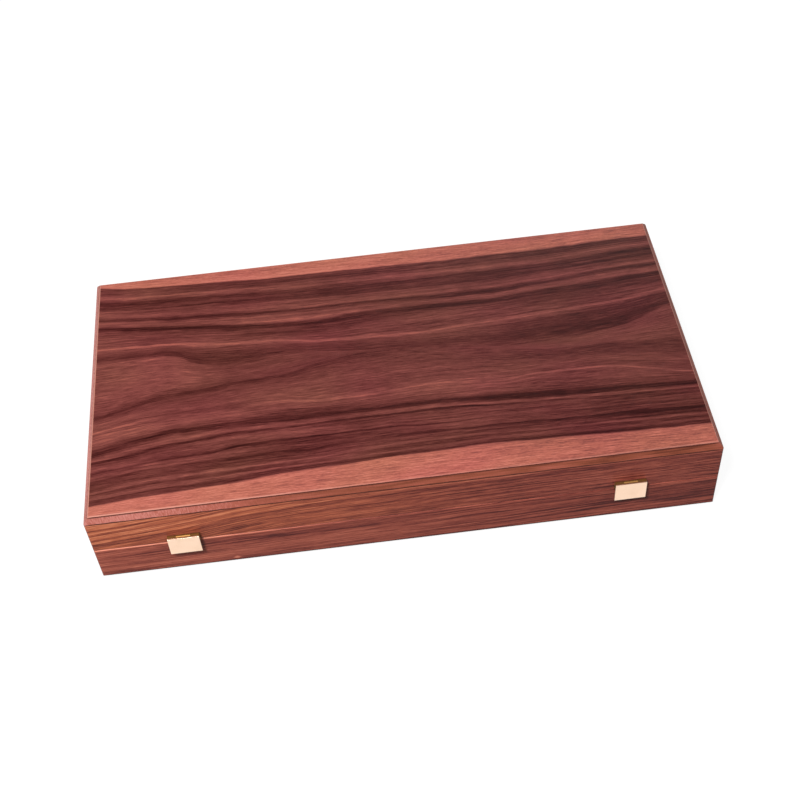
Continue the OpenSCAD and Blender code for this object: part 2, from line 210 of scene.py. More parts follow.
def shades(gain, *colours):
    """Evenly spaced ramp stops of screen colours, each scaled by gain."""
    last = len(colours) - 1
    return [(i / last, lit(gain, colour)) for i, colour in enumerate(colours)]


# Woods and dice are written as the colours that the render shows, and scaled to suit the light on them
TOP_GAIN = 0.5      # the light on the top would show a colour twice as bright as written
RAIL_GAIN = 0.685   # the rails stand upright, in less light
WALNUT = shades(TOP_GAIN, (48, 10, 9), (83, 34, 31), (114, 57, 52), (146, 79, 71), (186, 103, 87),
                (214, 128, 110))
# Pale cut edge of the veneer, which also stands for a painted highlight along the arris
CUT_VENEER_AND_HIGHLIGHT = lit(TOP_GAIN, (222, 150, 132))
BEVEL = shades(TOP_GAIN, (88, 42, 30), (138, 72, 52), (172, 92, 76), (216, 142, 132))
BEVEL_JOINT = lit(TOP_GAIN, (84, 40, 34))
RAIL = shades(RAIL_GAIN, (58, 22, 18), (112, 52, 41), (157, 81, 60), (195, 108, 75), (228, 142, 104))
RED_RAIL = shades(RAIL_GAIN, (54, 18, 18), (104, 45, 40), (147, 74, 61), (180, 99, 80), (212, 130, 106))
GROUND = shades(TOP_GAIN, (84, 44, 30), (136, 79, 52), (182, 118, 80))
MAPLE = shades(TOP_GAIN, (186, 142, 92), (218, 182, 130), (236, 208, 162))
WENGE = shades(TOP_GAIN, (24, 14, 12), (48, 28, 23), (82, 52, 40))
IVORY = shades(TOP_GAIN, (214, 196, 160), (238, 226, 198), (248, 240, 220))
EBONY = shades(TOP_GAIN, (26, 18, 16), (44, 30, 26), (62, 44, 38))
CATCH_BRASS = shades(1.0, (214, 178, 142), (244, 211, 185), (250, 222, 198))
HINGE_BRASS = shades(1.0, (190, 146, 92), (224, 180, 122), (238, 202, 152))
SCREW_BRASS = shades(1.0, (176, 138, 96), (214, 176, 132), (228, 196, 154))
# Brass behind the flaps: tarnish, darkened further as painted shade
TARNISH_AND_SHADE = shades(1.0, (102, 70, 38), (130, 93, 53), (152, 112, 68))


# Grain of any wood

def fibres(look, along, across, depth, seed):
    """Long and fine grain of a wood, both around zero, and its open pores, from 0 to 1."""
    strands = look.noise((along, 0.009), (across, 0.75), (depth, 0.75), seed=seed, detail=3, roughness=0.65)
    fine = look.noise((along, 0.06), (across, 1.45), (depth, 1.45), seed=seed, detail=3, roughness=0.7)
    place = look.point((along, 0.16), (across, 2.4), (depth, 2.4), seed)
    cells = look.node("TexVoronoi", {"Vector": place, "Scale": 1.0}).outputs["Distance"]
    pores = look.span(cells, 0.14, 0.30, 1.0, 0.0)
    return strands, fine, pores


def growth_lines(look, along, across, depth, seed, pitch, width=0.1):
    """Thin dark lines along the grain, from 0 to 1, about pitch millimetres apart."""
    sway = look.noise((along, 0.004), (across, 1 / pitch), (depth, 1 / pitch), seed=seed)
    return look.span(look.away(sway), 0.0, width, 1.0, 0.0, smooth=True)


def finish_wood(look, pores, smooth=0.44, rough=0.62, depth=0.03, strength=0.6):
    """Roughness and bump of a finished wood, whose pores are rougher and lie deeper."""
    look.paint("Roughness", look.span(pores, 0, 1, smooth, rough))
    look.bump(look.scale(pores, -1.0), depth, strength)


# Face veneers. Lines of their figure as (x, y) in millimetres, from the front edge to the back
FIGURE = [
    [(-240, -128), (240, -128)],
    # edge of the front sapwood
    [(-240, -115), (-190, -112), (-123, -108), (-90, -105), (-40, -104), (0, -101.5), (67, -100.3),
     (117, -102), (150, -104), (240, -105.5)],
    # three thin dark lines
    [(-240, -95), (-215, -89.5), (-173, -85), (-140, -84), (-65, -84.5), (-40, -82), (0, -81.5),
     (75, -83), (117, -85), (167, -84.5), (200, -86), (240, -89)],
    [(-240, -86), (-190, -79), (-148, -77), (-123, -73), (0, -72), (17, -74.5), (67, -75), (117, -76),
     (240, -80)],
    [(-240, -74.5), (-198, -69.5), (-165, -64), (-123, -60.5), (-73, -60.3), (0, -59), (50, -59.5),
     (83, -63), (135, -66), (240, -69.5)],
    # broad dark streak
    [(-240, -67.5), (-223, -63), (-198, -56.3), (-173, -51.3), (-140, -50.3), (-90, -51.3), (0, -52),
     (50, -53), (83, -54.5), (117, -58), (167, -60.3), (240, -63)],
    # pale line
    [(-240, -45.5), (-215, -39.5), (-193, -36.3), (-147, -34.5), (-90, -32.5), (-73, -36), (-40, -37),
     (0, -36.3), (25, -34.5), (92, -37.8), (117, -34.8), (175, -36.3), (200, -42), (217, -47),
     (240, -52.5)],
    # lower and upper side of the tongues, which meet in the middle
    [(-240, -30), (-215, -24), (-190, -15.3), (-157, -11.3), (-123, -6.3), (-82, -4.5), (-65, 0),
     (-40, 6), (-2, 10), (60, 2), (110, -8), (147, -14), (172, -13.3), (200, -16.3), (240, -20.5)],
    [(-240, 33), (-190, 33), (-170, 29.8), (-157, 21.3), (-147, 16.5), (-123, 13), (-107, 13.8),
     (-73, 17.3), (-27, 12.5), (-2, 11), (60, 3), (110, -2), (147, 0), (175, 3.8), (192, 7.3),
     (208, 13.8), (225, 21.3), (240, 27)],
    # pale line
    [(-240, 46.5), (-207, 44.8), (-173, 42.3), (-140, 37.3), (-107, 35.5), (-82, 33.5), (-57, 28.3),
     (-23, 26.3), (33, 25), (67, 27.3), (117, 29.8), (167, 33), (200, 36.3), (240, 43)],
    # broad dark streak
    [(-240, 70.5), (-198, 65), (-157, 59.6), (-120, 54.6), (-80, 52), (-40, 50.8), (0, 53.2), (40, 53.4),
     (80, 52), (120, 54.2), (160, 56.6), (200, 59.5), (240, 62)],
    # two dark lines
    [(-240, 80.5), (-198, 75), (-168, 72.3), (-137, 70.5), (-107, 67.3), (-57, 65.5), (0, 65), (83, 62),
     (150, 66.3), (200, 71.8), (240, 73)],
    [(-240, 98.5), (-198, 92.3), (-140, 90.5), (-98, 87.3), (-57, 84), (67, 82), (135, 83.5), (240, 89.5)],
    # edge of the back sapwood
    [(-240, 120.5), (-207, 115.5), (-157, 113), (-123, 111.3), (-90, 108.8), (0, 107.8), (150, 106.3),
     (183, 107.3), (240, 108.5)],
    [(-240, 128), (240, 128)],
]

# Tone from dark to sapwood, by place in the figure: line number and the share of the way to the next line
FIGURE_TONE = [
    (0, .84), (.5, .82), (.93, .80), (.985, .76), (1.0, .28), (1.08, .24), (1.22, .34), (1.3, .48),
    (1.38, .30), (1.5, .34), (1.58, .50), (1.68, .30), (1.84, .30), (1.94, .20), (2.0, .15), (2.1, .22),
    (2.22, .38), (2.6, .38), (2.88, .36), (3.0, .18), (3.1, .38), (3.5, .40), (3.85, .38), (3.96, .20),
    (4.02, .17), (4.14, .36), (4.32, .50), (4.5, .44), (4.64, .34), (4.8, .20), (4.92, .11), (5.0, .10),
    (5.08, .15), (5.2, .32), (5.45, .43), (5.7, .47), (5.92, .47), (6.0, .66), (6.07, .47), (6.5, .43),
    (6.78, .36), (6.92, .25), (7.0, .21), (7.05, .36), (7.4, .44), (7.8, .44), (7.93, .50), (7.97, .40),
    (8.03, .20), (8.2, .24), (8.5, .34), (8.8, .42), (8.93, .58), (9.0, .66), (9.07, .46), (9.3, .40),
    (9.7, .36), (9.86, .28), (9.93, .15), (10.0, .11), (10.1, .18), (10.24, .40), (10.45, .50),
    (10.72, .48), (10.88, .34), (11.0, .20), (11.1, .28), (11.2, .44), (11.32, .50), (11.5, .44),
    (11.7, .36), (11.82, .26), (11.95, .31), (12.1, .22), (12.24, .32), (12.38, .47), (12.47, .52),
    (12.56, .40), (12.75, .34), (12.92, .30), (12.985, .26), (13.0, .74), (13.06, .85), (13.5, .82),
    (14.0, .80),
]

# Where along the case a figure line fades: line, reach on either side in line numbers, and strength by x
FIGURE_FADE = [
    (3.0, .3, [(-240, .9), (-60, 1), (20, .8), (80, .4), (240, .5)]),
    (4.0, .3, [(-240, .8), (-100, 1), (60, 1), (110, .3), (240, .5)]),
    (5.0, .3, [(-240, 1), (-120, .9), (0, .8), (120, .85), (240, .9)]),
    (6.0, .3, [(-240, 1), (-205, .9), (-180, .4), (-125, .2), (-95, .8), (-60, .9), (30, .6), (100, .9),
               (240, 1)]),
    (7.0, .5, [(-240, 1), (-100, .9), (-50, .6), (0, .45), (60, .1), (130, .1), (180, .35), (240, .3)]),
    (8.0, .5, [(-240, .7), (-160, .8), (-120, .4), (-60, .4), (0, .5), (50, .1), (130, .1), (190, .7),
               (240, .6)]),
    (10.0, .25, [(-240, .9), (-160, 1), (-60, .9), (0, .75), (100, .65), (240, .75)]),
    (11.0, .3, [(-240, .9), (-100, .7), (-20, .8), (80, .9), (150, .6), (240, .9)]),
]
FADED_TONE = 0.38

# Bands of the figure whose tone drifts along the case: from line, to line, and the shift by x
FIGURE_DRIFT = [
    (7.05, 7.95, [(-240, 0), (-205, .04), (-170, .06), (-140, -.04), (-100, -.05), (-50, -.05), (0, -.08),
                  (60, -.02), (120, .05), (200, .06), (240, .02)]),
    (8.05, 8.9, [(-240, 0), (-180, -.04), (-120, -.05), (-60, 0), (60, 0), (110, -.06), (160, -.10),
                 (205, -.05), (240, 0)]),
    (5.2, 5.9, [(-240, .08), (-200, .06), (-150, 0), (240, 0)]),
]
DRIFT_SOFT = 0.15   # how far a drifting band fades in from its lines, in line numbers

# Painted side light, lighter towards the left end: tone added along the case, from its left end, 0, to its
# right, 1, and what is taken off it all over
PAINTED_SIDE_LIGHT = [(0.0, 0.16), (0.15, 0.13), (0.35, 0.10), (0.55, 0.09), (0.75, 0.04), (1.0, 0.02)]
PAINTED_SIDE_LIGHT_ZERO = 0.11

CALM = ((5.9, 6.6), (9.0, 8.4))           # the grain calms down between these figure lines, from either side
CALM_GRAIN = 0.45                         # how strong it is there
SAPWOOD = ((0.98, 0.9), (13.02, 13.1))    # the sapwood sets in between these, at the front and the back
SAP_GRAIN = 0.6                           # how strong the broad grain is in the sapwood
FOLLOW = 0.65                             # how far the grain follows the figure, and not the straight case
LEAST_BAND = 0.0005                       # least gap between two figure lines, as a share of the case's depth

# How clearly the veneer's pale cut edge and its painted highlight show along the case, strongest at the left
# end, and how far in from the arris they reach
PALE_EDGE_AND_HIGHLIGHT = [(0.0, 1.0), (0.25, 0.8), (0.42, 0.4), (0.6, 0.3), (0.8, 0.35), (0.96, 0.4), (1.0, 0.5)]
PALE_EDGE_AND_HIGHLIGHT_W = 0.6


def unit(value, size):
    """A number's place along a length that is centred on zero, from 0 to 1."""
    return (value + size / 2) / size


def line_place(number):
    """Mean place of a figure line, or of a point between two, from the front edge, 0, to the back, 1."""
    first = min(int(number), len(FIGURE) - 2)
    here, there = [unit(sum(y for _, y in line) / len(line), CASE_W) for line in FIGURE[first:first + 2]]
    return here + (number - first) * (there - here)


def figure_place(look, along, side):
    """Place of a point between the drawn lines of the figure, on the scale of line_place."""
    place = 0.0
    before = None
    for number, line in enumerate(FIGURE):
        drawn = look.curve(along, [(unit(x, CASE_L), unit(y, CASE_W)) for x, y in line])
        if number > 0:
            drawn = look.most(drawn, look.add(before, LEAST_BAND))
            width = line_place(number) - line_place(number - 1)
            place = look.add(place, look.span(side, before, drawn, 0.0, width))
        before = drawn
    return place


def figure_window(look, place, first, last):
    """1 in a part of the figure, 0 outside it. Each end is the line number for 0, and the one for 1."""
    return look.times(*[look.span(place, line_place(none), line_place(full), smooth=True)
                        for none, full in (first, last)])


def figure_tone(look, along, place):
    """Tone of the figure, with the lines that fade and the bands that drift along the case."""
    tone = look.curve(place, [(line_place(number), value) for number, value in FIGURE_TONE])
    for number, reach, strengths in FIGURE_FADE:
        near = figure_window(look, place, (number - reach, number), (number + reach, number))
        strength = look.curve(along, [(unit(x, CASE_L), value) for x, value in strengths])
        fade = look.times(near, look.scale(strength, -1, 1))
        tone = look.weigh(tone, (fade, look.scale(tone, -1, FADED_TONE)))
    # A curve can't go below zero, so a shift is drawn around a half
    for first, last, shifts in FIGURE_DRIFT:
        within = figure_window(look, place, (first, first + DRIFT_SOFT), (last, last - DRIFT_SOFT))
        raised = look.curve(along, [(unit(x, CASE_L), 0.5 + value) for x, value in shifts])
        tone = look.weigh(tone, (within, look.scale(raised, 1, -0.5)))
    return tone


def veneer_look(name, mirror, seed):
    """Figured veneer of a face. mirror is 1, or -1 for a figure that runs the other way."""
    look = Look(name, Specular_IOR_Level=0.06)
    x = look.scale(look.x, mirror)
    along = look.share(x, CASE_L)
    broad_waver = look.noise((x, 0.012), (look.y, 0.030), seed=seed, detail=1, swing=2.0)
    small_waver = look.noise((x, 0.045), (look.y, 0.110), seed=seed, swing=0.9)
    place = figure_place(look, along, look.share(look.add(look.y, broad_waver, small_waver), CASE_W))
    calm = figure_window(look, place, *CALM)
    sap = look.most(*[look.span(place, line_place(none), line_place(full)) for none, full in SAPWOOD])
    rings = look.weigh(look.scale(look.y, 1 - FOLLOW), (place, FOLLOW * CASE_W))
    bands = look.noise((x, 0.009), (rings, 0.10), seed=seed, swing=0.22)
    ringlets = look.noise((x, 0.006), (rings, 0.5), seed=seed, swing=0.18)
    flecks = look.span(look.noise((x, 0.1), (rings, 1.1), seed=seed), 0.2, 0.5)
    dashes = look.noise((x, 0.35), (rings, 1.7), seed=seed)
    lines = growth_lines(look, x, rings, 0.0, seed, pitch=7.0)
    strands, fine, pores = fibres(look, x, rings, 0.0, seed)
    grain = look.weigh(look.add(bands, ringlets), (strands, 0.22), (lines, -0.05))
    strength = look.times(look.scale(calm, CALM_GRAIN - 1, 1), look.scale(sap, SAP_GRAIN - 1, 1))
    # Painted side light: the tone is lighter towards the left end
    painted_light_tone = look.scale(look.curve(along, PAINTED_SIDE_LIGHT), 1, -PAINTED_SIDE_LIGHT_ZERO)
    tone = look.weigh(look.add(figure_tone(look, along, place), painted_light_tone), (grain, strength), (flecks, 0.10),
                      (dashes, look.scale(sap, 0.2)), (fine, look.scale(sap, 0.16, 0.47)),
                      (pores, look.scale(sap, 0.04, -0.14)))
    hue = look.noise((x, 0.012), (rings, 0.03), seed=seed, detail=1, swing=0.012)
    inputs = {"Hue": look.scale(hue, 1, 0.5), "Color": look.ramp(tone, WALNUT)}
    colour = look.node("HueSaturation", inputs).outputs[0]
    # The cut edge of the veneer shows as a pale line around the face, with a painted highlight along the
    # arris
    edge = look.span(look.past_outline(BEVEL_W), -PALE_EDGE_AND_HIGHLIGHT_W, 0.0)
    look.paint("Base Color", look.mix(look.times(edge, look.curve(along, PALE_EDGE_AND_HIGHLIGHT)), colour, CUT_VENEER_AND_HIGHLIGHT))
    finish_wood(look, pores)
    return look.material


# How pink the bevel is along the case, its wood's tone with painted light that is lighter towards the left
# end, how short-grained it is, and its tone down from the face
BEVEL_PINK_AND_LIGHT = [(0, 1.0), (.012, .84), (.15, .70), (.35, .46), (.6, .38), (.95, .35), (1, .5)]
BEVEL_SHORT_GRAIN = [(0, 1), (.2, .9), (.4, .2), (1, .0)]
BEVEL_PROFILE = [(0.0, .32), (.2, .40), (.5, .46), (.68, .56), (.82, .52), (1.0, .4)]

# Dark joints of the panel: the distance from the face at which each starts, and where it is full
VENEER_JOINT = (VENEER_T + 1.0, VENEER_T + 0.4)
RAIL_JOINT = (PANEL_T - 1.3, PANEL_T - 0.8)
JOINT_ENDS = (CASE_L / 2 - 6.0, CASE_L / 2 - 3.0)   # they grow faint between these distances from the middle
JOINT_FAINT = 0.3


def bevel_look(name):
    """The panel's core: a grained bevel outside, and the floor of the tray inside."""
    look = Look(name, Specular_IOR_Level=0.08)
    height = look.scale(look.away(look.z, SEAM_Z), -1, SEAM_Z)   # in from the nearer face
    along = look.weigh(look.x, (look.y, 0.5))   # changes along all four sides
    case_along = look.share(look.x, CASE_L)
    dashes = look.noise((along, 1.0), (height, 0.34), detail=4, roughness=0.75)
    streaks = look.noise((along, 0.03), (height, 0.9))
    clouds = look.noise((look.x, 0.02), (look.y, 0.02))
    short = look.curve(case_along, BEVEL_SHORT_GRAIN)
    profile = look.curve(look.scale(height, 1 / PANEL_T), BEVEL_PROFILE)
    long_grain = look.weigh(look.scale(profile, 0.6, -0.3), (streaks, 0.6))
    # The bevel's tone along the case holds painted light, lighter towards the left end
    tone = look.weigh(look.curve(case_along, BEVEL_PINK_AND_LIGHT), (clouds, 0.2),
                      (dashes, look.scale(short, 0.36, 0.14)), (long_grain, look.scale(short, -1, 1)))
    waver = look.noise((along, 0.08), swing=0.5)
    joint = look.most(look.span(height, *VENEER_JOINT), look.span(look.add(height, waver), *RAIL_JOINT))
    clear = look.span(look.away(look.x), *JOINT_ENDS, 1.0, JOINT_FAINT)
    bevel = look.mix(look.times(joint, clear), look.ramp(tone, BEVEL), BEVEL_JOINT)
    strands, fine, pores = fibres(look, look.x, look.y, 0.0, seed=31.0)
    bands = look.noise((look.x, 0.004), (look.y, 0.12), swing=0.4)
    floor_tone = look.weigh(look.scale(strands, 0.4, 0.45), (bands, 1), (fine, 0.3), (pores, -0.12))
    inside = look.span(look.past_outline(RAIL_T), 2, 1)   # the change lies under the rails
    look.paint("Base Color", look.mix(inside, bevel, look.ramp(floor_tone, RAIL)))
    look.paint("Roughness", look.span(dashes, -1, 1, 0.6, 0.42))
    look.bump(dashes, 0.02, 0.4)
    return look.material


# Marks of the base's front: a painted highlight along its rim at the seam, from the left end, and a small
# bruise near the foot.
# Each pair says where a mark starts, and where it is full
RIM_HIGHLIGHT_X = (-20.0, -140.0)
RIM_HIGHLIGHT_BELOW = (1.2, 0.7)     # from the seam
RIM_HIGHLIGHT_BEHIND = (1.0, 0.4)    # from the front
RIM_HIGHLIGHT_TONE = 0.6
BRUISE_X, BRUISE_Z = -135.0, 8.5
BRUISE_SIZE = (4.5, 1.0)   # from its middle, half as much up and down
BRUISE_TONE = 0.7


def front_rim_highlight_and_bruise(look, tone):
    """Lightens the base's front rail with a painted highlight along its rim at the seam, and at its bruise.
    """
    below = look.span(look.away(look.z, SEAM_Z), *RIM_HIGHLIGHT_BELOW)
    behind = look.span(look.scale(look.y, 1, CASE_W / 2), *RIM_HIGHLIGHT_BEHIND)
    # Painted highlight along the rim at the seam, fading in from the left end
    rim = look.times(look.times(below, behind), look.span(look.x, *RIM_HIGHLIGHT_X, smooth=True))
    off = look.weigh(look.away(look.x, BRUISE_X), (look.away(look.z, BRUISE_Z), 2))
    bruise = look.span(off, *BRUISE_SIZE)
    return look.weigh(tone, (rim, RIM_HIGHLIGHT_TONE), (bruise, BRUISE_TONE))


def rail_look(name, axis, seed, tone, lean, painted_light_drift=-0.0004, highlight_and_bruise=None):
    """A straight-grained rail: grain along axis, leaning by lean, its tone drifting along its length as
    painted side light.
    """
    look = Look(name, Specular_IOR_Level=0.08)
    along, depth = (look.x, look.y) if axis == "x" else (look.y, look.x)
    waver = look.noise((along, 0.012), (look.z, 0.05), (depth, 0.05), seed=seed, swing=2.2)
    across = look.weigh(look.add(look.z, waver), (along, -lean))
    bands = look.noise((along, 0.003), (across, 0.16), (depth, 0.16), seed=seed)
    broad_lines = growth_lines(look, along, across, depth, seed, pitch=5.0)
    thin_lines = growth_lines(look, along, across, depth, seed + 3.0, pitch=2.4, width=0.14)
    strands, fine, pores = fibres(look, along, across, depth, seed)
    # The tone drifts along the rail as painted side light
    value = look.weigh(look.scale(along, painted_light_drift, tone), (bands, 0.34), (strands, 0.40), (fine, 0.52),
                       (pores, -0.16), (broad_lines, -0.22), (thin_lines, -0.16))
    # The painted highlight along the base's rim, and its bruise, where given
    if highlight_and_bruise:
        value = highlight_and_bruise(look, value)
    look.paint("Base Color", look.ramp(value, RED_RAIL))
    finish_wood(look, pores)
    return look.material


# Pale streak on the lid's front rail as (x, height above the seam), and the tone by distance from it
STREAK = [(-240, 9.5), (-177, 15.8), (-90, 27), (10, 30.8), (240, 32.5)]
STREAK_TONE = [(-34, .38), (-20, .42), (-12, .38), (-7, .43), (-4, .30), (-1.8, .36), (-0.2, .62),
               (1.3, .60), (2.4, .34), (3.6, .56), (6, .66), (7.7, .5), (8.5, .33), (9.8, .56),
               (12.5, .66), (14.4, .36), (16, .6), (20, .64), (26, .5)]
STREAK_ROOM = 80.0                 # width of wood that the tone is drawn for, centred on the streak
STREAK_REDDENS = (-160.0, 140.0)   # the wood turns redder from the first x to the second


def streaked_rail_look(name, seed):
    """The lid's front rail, whose grain follows its pale streak."""
    look = Look(name, Specular_IOR_Level=0.08)
    streak = look.curve(look.share(look.x, CASE_L), [(unit(x, CASE_L), z / SEAM_Z) for x, z in STREAK])
    waver = look.noise((look.x, 0.014), (look.z, 0.06), (look.y, 0.05), seed=seed, swing=1.6)
    across = look.weigh(look.add(look.z, -SEAM_Z, waver), (streak, -SEAM_Z))
    tones = [(unit(off, STREAK_ROOM), value) for off, value in STREAK_TONE]
    tone = look.curve(look.share(across, STREAK_ROOM), tones)
    # Painted side light: the tone darkens towards the right end
    painted_light_drift = look.scale(look.x, -0.0003, 0.1)
    lines = growth_lines(look, look.x, across, look.y, seed, pitch=3.2)
    strands, fine, pores = fibres(look, look.x, across, look.y, seed)
    value = look.weigh(look.add(tone, painted_light_drift), (strands, 0.52), (fine, 0.66), (pores, -0.16), (lines, -0.24))
    reddened = look.span(look.x, *STREAK_REDDENS, smooth=True)
    look.paint("Base Color", look.mix(reddened, look.ramp(value, RAIL), look.ramp(value, RED_RAIL)))
    finish_wood(look, pores)
    return look.material


def inlay_look(name, stops, seed, grain, pore_tone=-0.1, figure=0.14):
    """Flat veneer of the playing field, grain along the points. figure is the swing of its broad bands."""
    look = Look(name, Specular_IOR_Level=0.25)
    across = look.add(look.y, look.noise((look.x, 0.008), (look.y, 0.02), seed=seed, swing=6.0))
    bands = look.noise((look.x, 0.002), (across, 0.06), seed=seed, swing=figure)
    lines = growth_lines(look, look.x, across, 0.0, seed, pitch=9.0)
    strands, fine, pores = fibres(look, look.x, across, 0.0, seed)
    value = look.weigh(look.scale(strands, grain, 0.5), (bands, 1), (fine, 0.16), (pores, pore_tone),
                       (lines, -0.4 * figure))
    look.paint("Base Color", look.ramp(value, stops))
    finish_wood(look, pores, smooth=0.36, rough=0.5, depth=0.02, strength=0.5)
    return look.material


DISC_SHIFT = 90.0   # how far the grain may be moved from one checker to another


def turned_look(name, stops, seed):
    """Turned checkers: straight grain across each disc, and a tone of its own for each."""
    look = Look(name, Specular_IOR_Level=0.4, Coat_Weight=0.15, Coat_Roughness=0.2)
    stack = look.math("FLOOR", look.scale(look.x, 1 / STACK_PITCH, 0.5))
    disc = look.math("FLOOR", look.scale(look.z, 1 / DISC_PITCH, -PANEL_T / DISC_PITCH))
    tag = look.node("CombineXYZ", {0: stack, 1: disc, 2: seed}).outputs[0]
    own = look.node("TexWhiteNoise", {"Vector": tag}).outputs["Value"]
    across = look.weigh(look.y, (own, DISC_SHIFT))
    strands, fine, pores = fibres(look, look.x, across, look.scale(look.z, 0.5), seed)
    value = look.weigh(look.scale(own, 0.24, 0.38), (strands, 0.2), (fine, 0.1), (pores, -0.1))
    look.paint("Base Color", look.ramp(value, stops))
    look.paint("Roughness", look.span(strands, -1, 1, 0.3, 0.42))
    look.bump(look.scale(pores, -1.0), 0.02, 0.4)
    return look.material


# Brass
FLAP_BACK_Y = -132.4   # the back of the shut flaps, behind which the brass is tarnished and darkened as painted shade
TARNISH_AND_SHADE_FADE = 0.3     # distance from the polished brass to the tarnished and shaded
TARNISH_ROUGH = 0.22   # how much rougher the tarnished is


def brass_look(name, stops, seed, smooth, rough, tarnished_and_shaded_from=None):
    """Brushed brass. Behind the y in its last argument, if given, it is tarnished and darkened as painted
    shade.
    """
    look = Look(name, Metallic=1.0)
    brushed = look.noise((look.x, 0.12), (look.y, 5.0), (look.z, 5.0), seed=seed)
    stain = look.cloud(0.09, detail=4, seed=seed)
    value = look.weigh(0.5, (stain, 0.25), (brushed, 0.1))
    colour = look.ramp(value, stops)
    roughness = look.span(look.add(brushed, stain), -1, 1, smooth, rough)
    if tarnished_and_shaded_from is not None:
        # Behind the flap's back the brass is tarnished and darkened as painted shade
        behind = look.span(look.y, tarnished_and_shaded_from, tarnished_and_shaded_from + TARNISH_AND_SHADE_FADE)
        colour = look.mix(behind, colour, look.ramp(value, TARNISH_AND_SHADE))
        roughness = look.weigh(roughness, (behind, TARNISH_ROUGH))
    look.paint("Base Color", colour)
    look.paint("Roughness", roughness)
    look.bump(brushed, 0.006, 0.5)
    return look.material


# Dice and doubling cube. Turn of each die about the upright, in degrees, as they lie in the tray
DICE = {"light_die_1": 8, "light_die_2": -6, "dark_die_1": -4, "dark_die_2": 7}
DIE_HALF = 6.0      # half a die's edge
DIE_BALL = 8.28     # radius of the ball that rounds its corners
FACE_CLEAR = 0.03   # how far below a face the paint of a pip starts
BALL_CLEAR = 0.07   # and how far inside the ball
PIP_FADE = 0.04     # width of the edge of that paint


def die_look(name, node, stops, pip_stops):
    """A die whose pips, the hollows below its faces and inside its ball, are painted in another colour."""
    look = Look(name, Specular_IOR_Level=0.5, Coat_Weight=0.2, Coat_Roughness=0.1)
    low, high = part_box(node)
    middle = (low + high) / 2 / MM
    x, y, z = [look.scale(value, 1, -centre) for value, centre in zip((look.x, look.y, look.z), middle)]
    turn = math.radians(DICE[node])
    cos, sin = math.cos(turn), math.sin(turn)
    ahead = look.away(look.weigh(look.scale(x, cos), (y, sin)))
    aside = look.away(look.weigh(look.scale(x, -sin), (y, cos)))
    out = look.most(look.most(ahead, aside), look.away(z))
    spot = look.node("CombineXYZ", {0: x, 1: y, 2: z}).outputs[0]
    reach = look.node("VectorMath", {0: spot}, operation="LENGTH").outputs["Value"]
    face, ball = DIE_HALF - FACE_CLEAR, DIE_BALL - BALL_CLEAR
    hollow = look.times(look.span(out, face, face - PIP_FADE), look.span(reach, ball, ball - PIP_FADE))
    cloud = look.cloud(0.25, detail=3)
    value = look.scale(cloud, 0.35, 0.5)
    look.paint("Base Color", look.mix(hollow, look.ramp(value, stops), look.ramp(value, pip_stops)))
    look.paint("Roughness", look.span(cloud, -1, 1, 0.22, 0.34))
    return look.material


def clouded_look(name, stops, rate, smooth, rough, **shader):
    """A plain material with faint clouds in its colour and its gloss."""
    look = Look(name, **shader)
    cloud = look.cloud(rate, detail=4)
    look.paint("Base Color", look.ramp(look.scale(cloud, 0.4, 0.5), stops))
    look.paint("Roughness", look.span(cloud, -1, 1, smooth, rough))
    return look.material


# Materials of the nodes

def dress(material, *names):
    """Gives some nodes a material."""
    for name in names:
        for slot in nodes[name].material_slots:
            slot.material = material


def on_both(names, *parts):
    """Node names of the parts that come once for each of names."""
    return [f"{name}_{part}" for name in names for part in parts]


dress(veneer_look("top_figure", 1, 3.0), "lid_face_veneer")
dress(veneer_look("under_figure", -1, 17.0), "base_face_veneer")
dress(bevel_look("panel_core"), *on_both(HALVES, "panel"))
dress(streaked_rail_look("lid_front_wood", 5.0), "lid_front_rail")
# The base's front rail carries a painted highlight along its rim at the seam
dress(rail_look("base_front_wood", "x", 11.0, tone=0.515, lean=0.025, painted_light_drift=-0.0006, highlight_and_bruise=front_rim_highlight_and_bruise),
      "base_front_rail")
dress(rail_look("back_wood", "x", 23.0, tone=0.42, lean=-0.015), *on_both(HALVES, "back_rail"))
dress(rail_look("left_wood", "y", 37.0, tone=0.46, lean=0.03), *on_both(HALVES, "left_rail"))
dress(rail_look("right_wood", "y", 41.0, tone=0.42, lean=-0.02), *on_both(HALVES, "right_rail"))
dress(rail_look("tray_wood", "x", 53.0, tone=0.4, lean=0.0, painted_light_drift=0.0),
      *on_both(HALVES, "tray_divider", "tray_block"))
dress(inlay_look("ground_veneer", GROUND, 61.0, grain=0.3, figure=0.4), *on_both(HALVES, "field_ground"))
dress(inlay_look("light_veneer", MAPLE, 67.0, grain=0.25, pore_tone=-0.04), *on_both(HALVES, "light_points"))
dress(inlay_look("dark_veneer", WENGE, 71.0, grain=0.3), *on_both(HALVES, "dark_points"))
dress(turned_look("light_turned", MAPLE, 5.0), *[f"light_checkers_{i}" for i in STACKS])
dress(turned_look("dark_turned", WENGE, 9.0), *[f"dark_checkers_{i}" for i in STACKS])
dress(brass_look("hinge_brass", HINGE_BRASS, 2.0, 0.32, 0.46),
      *on_both(SIDES, "hinge_base_leaf", "hinge_lid_leaf", "hinge_pin"))
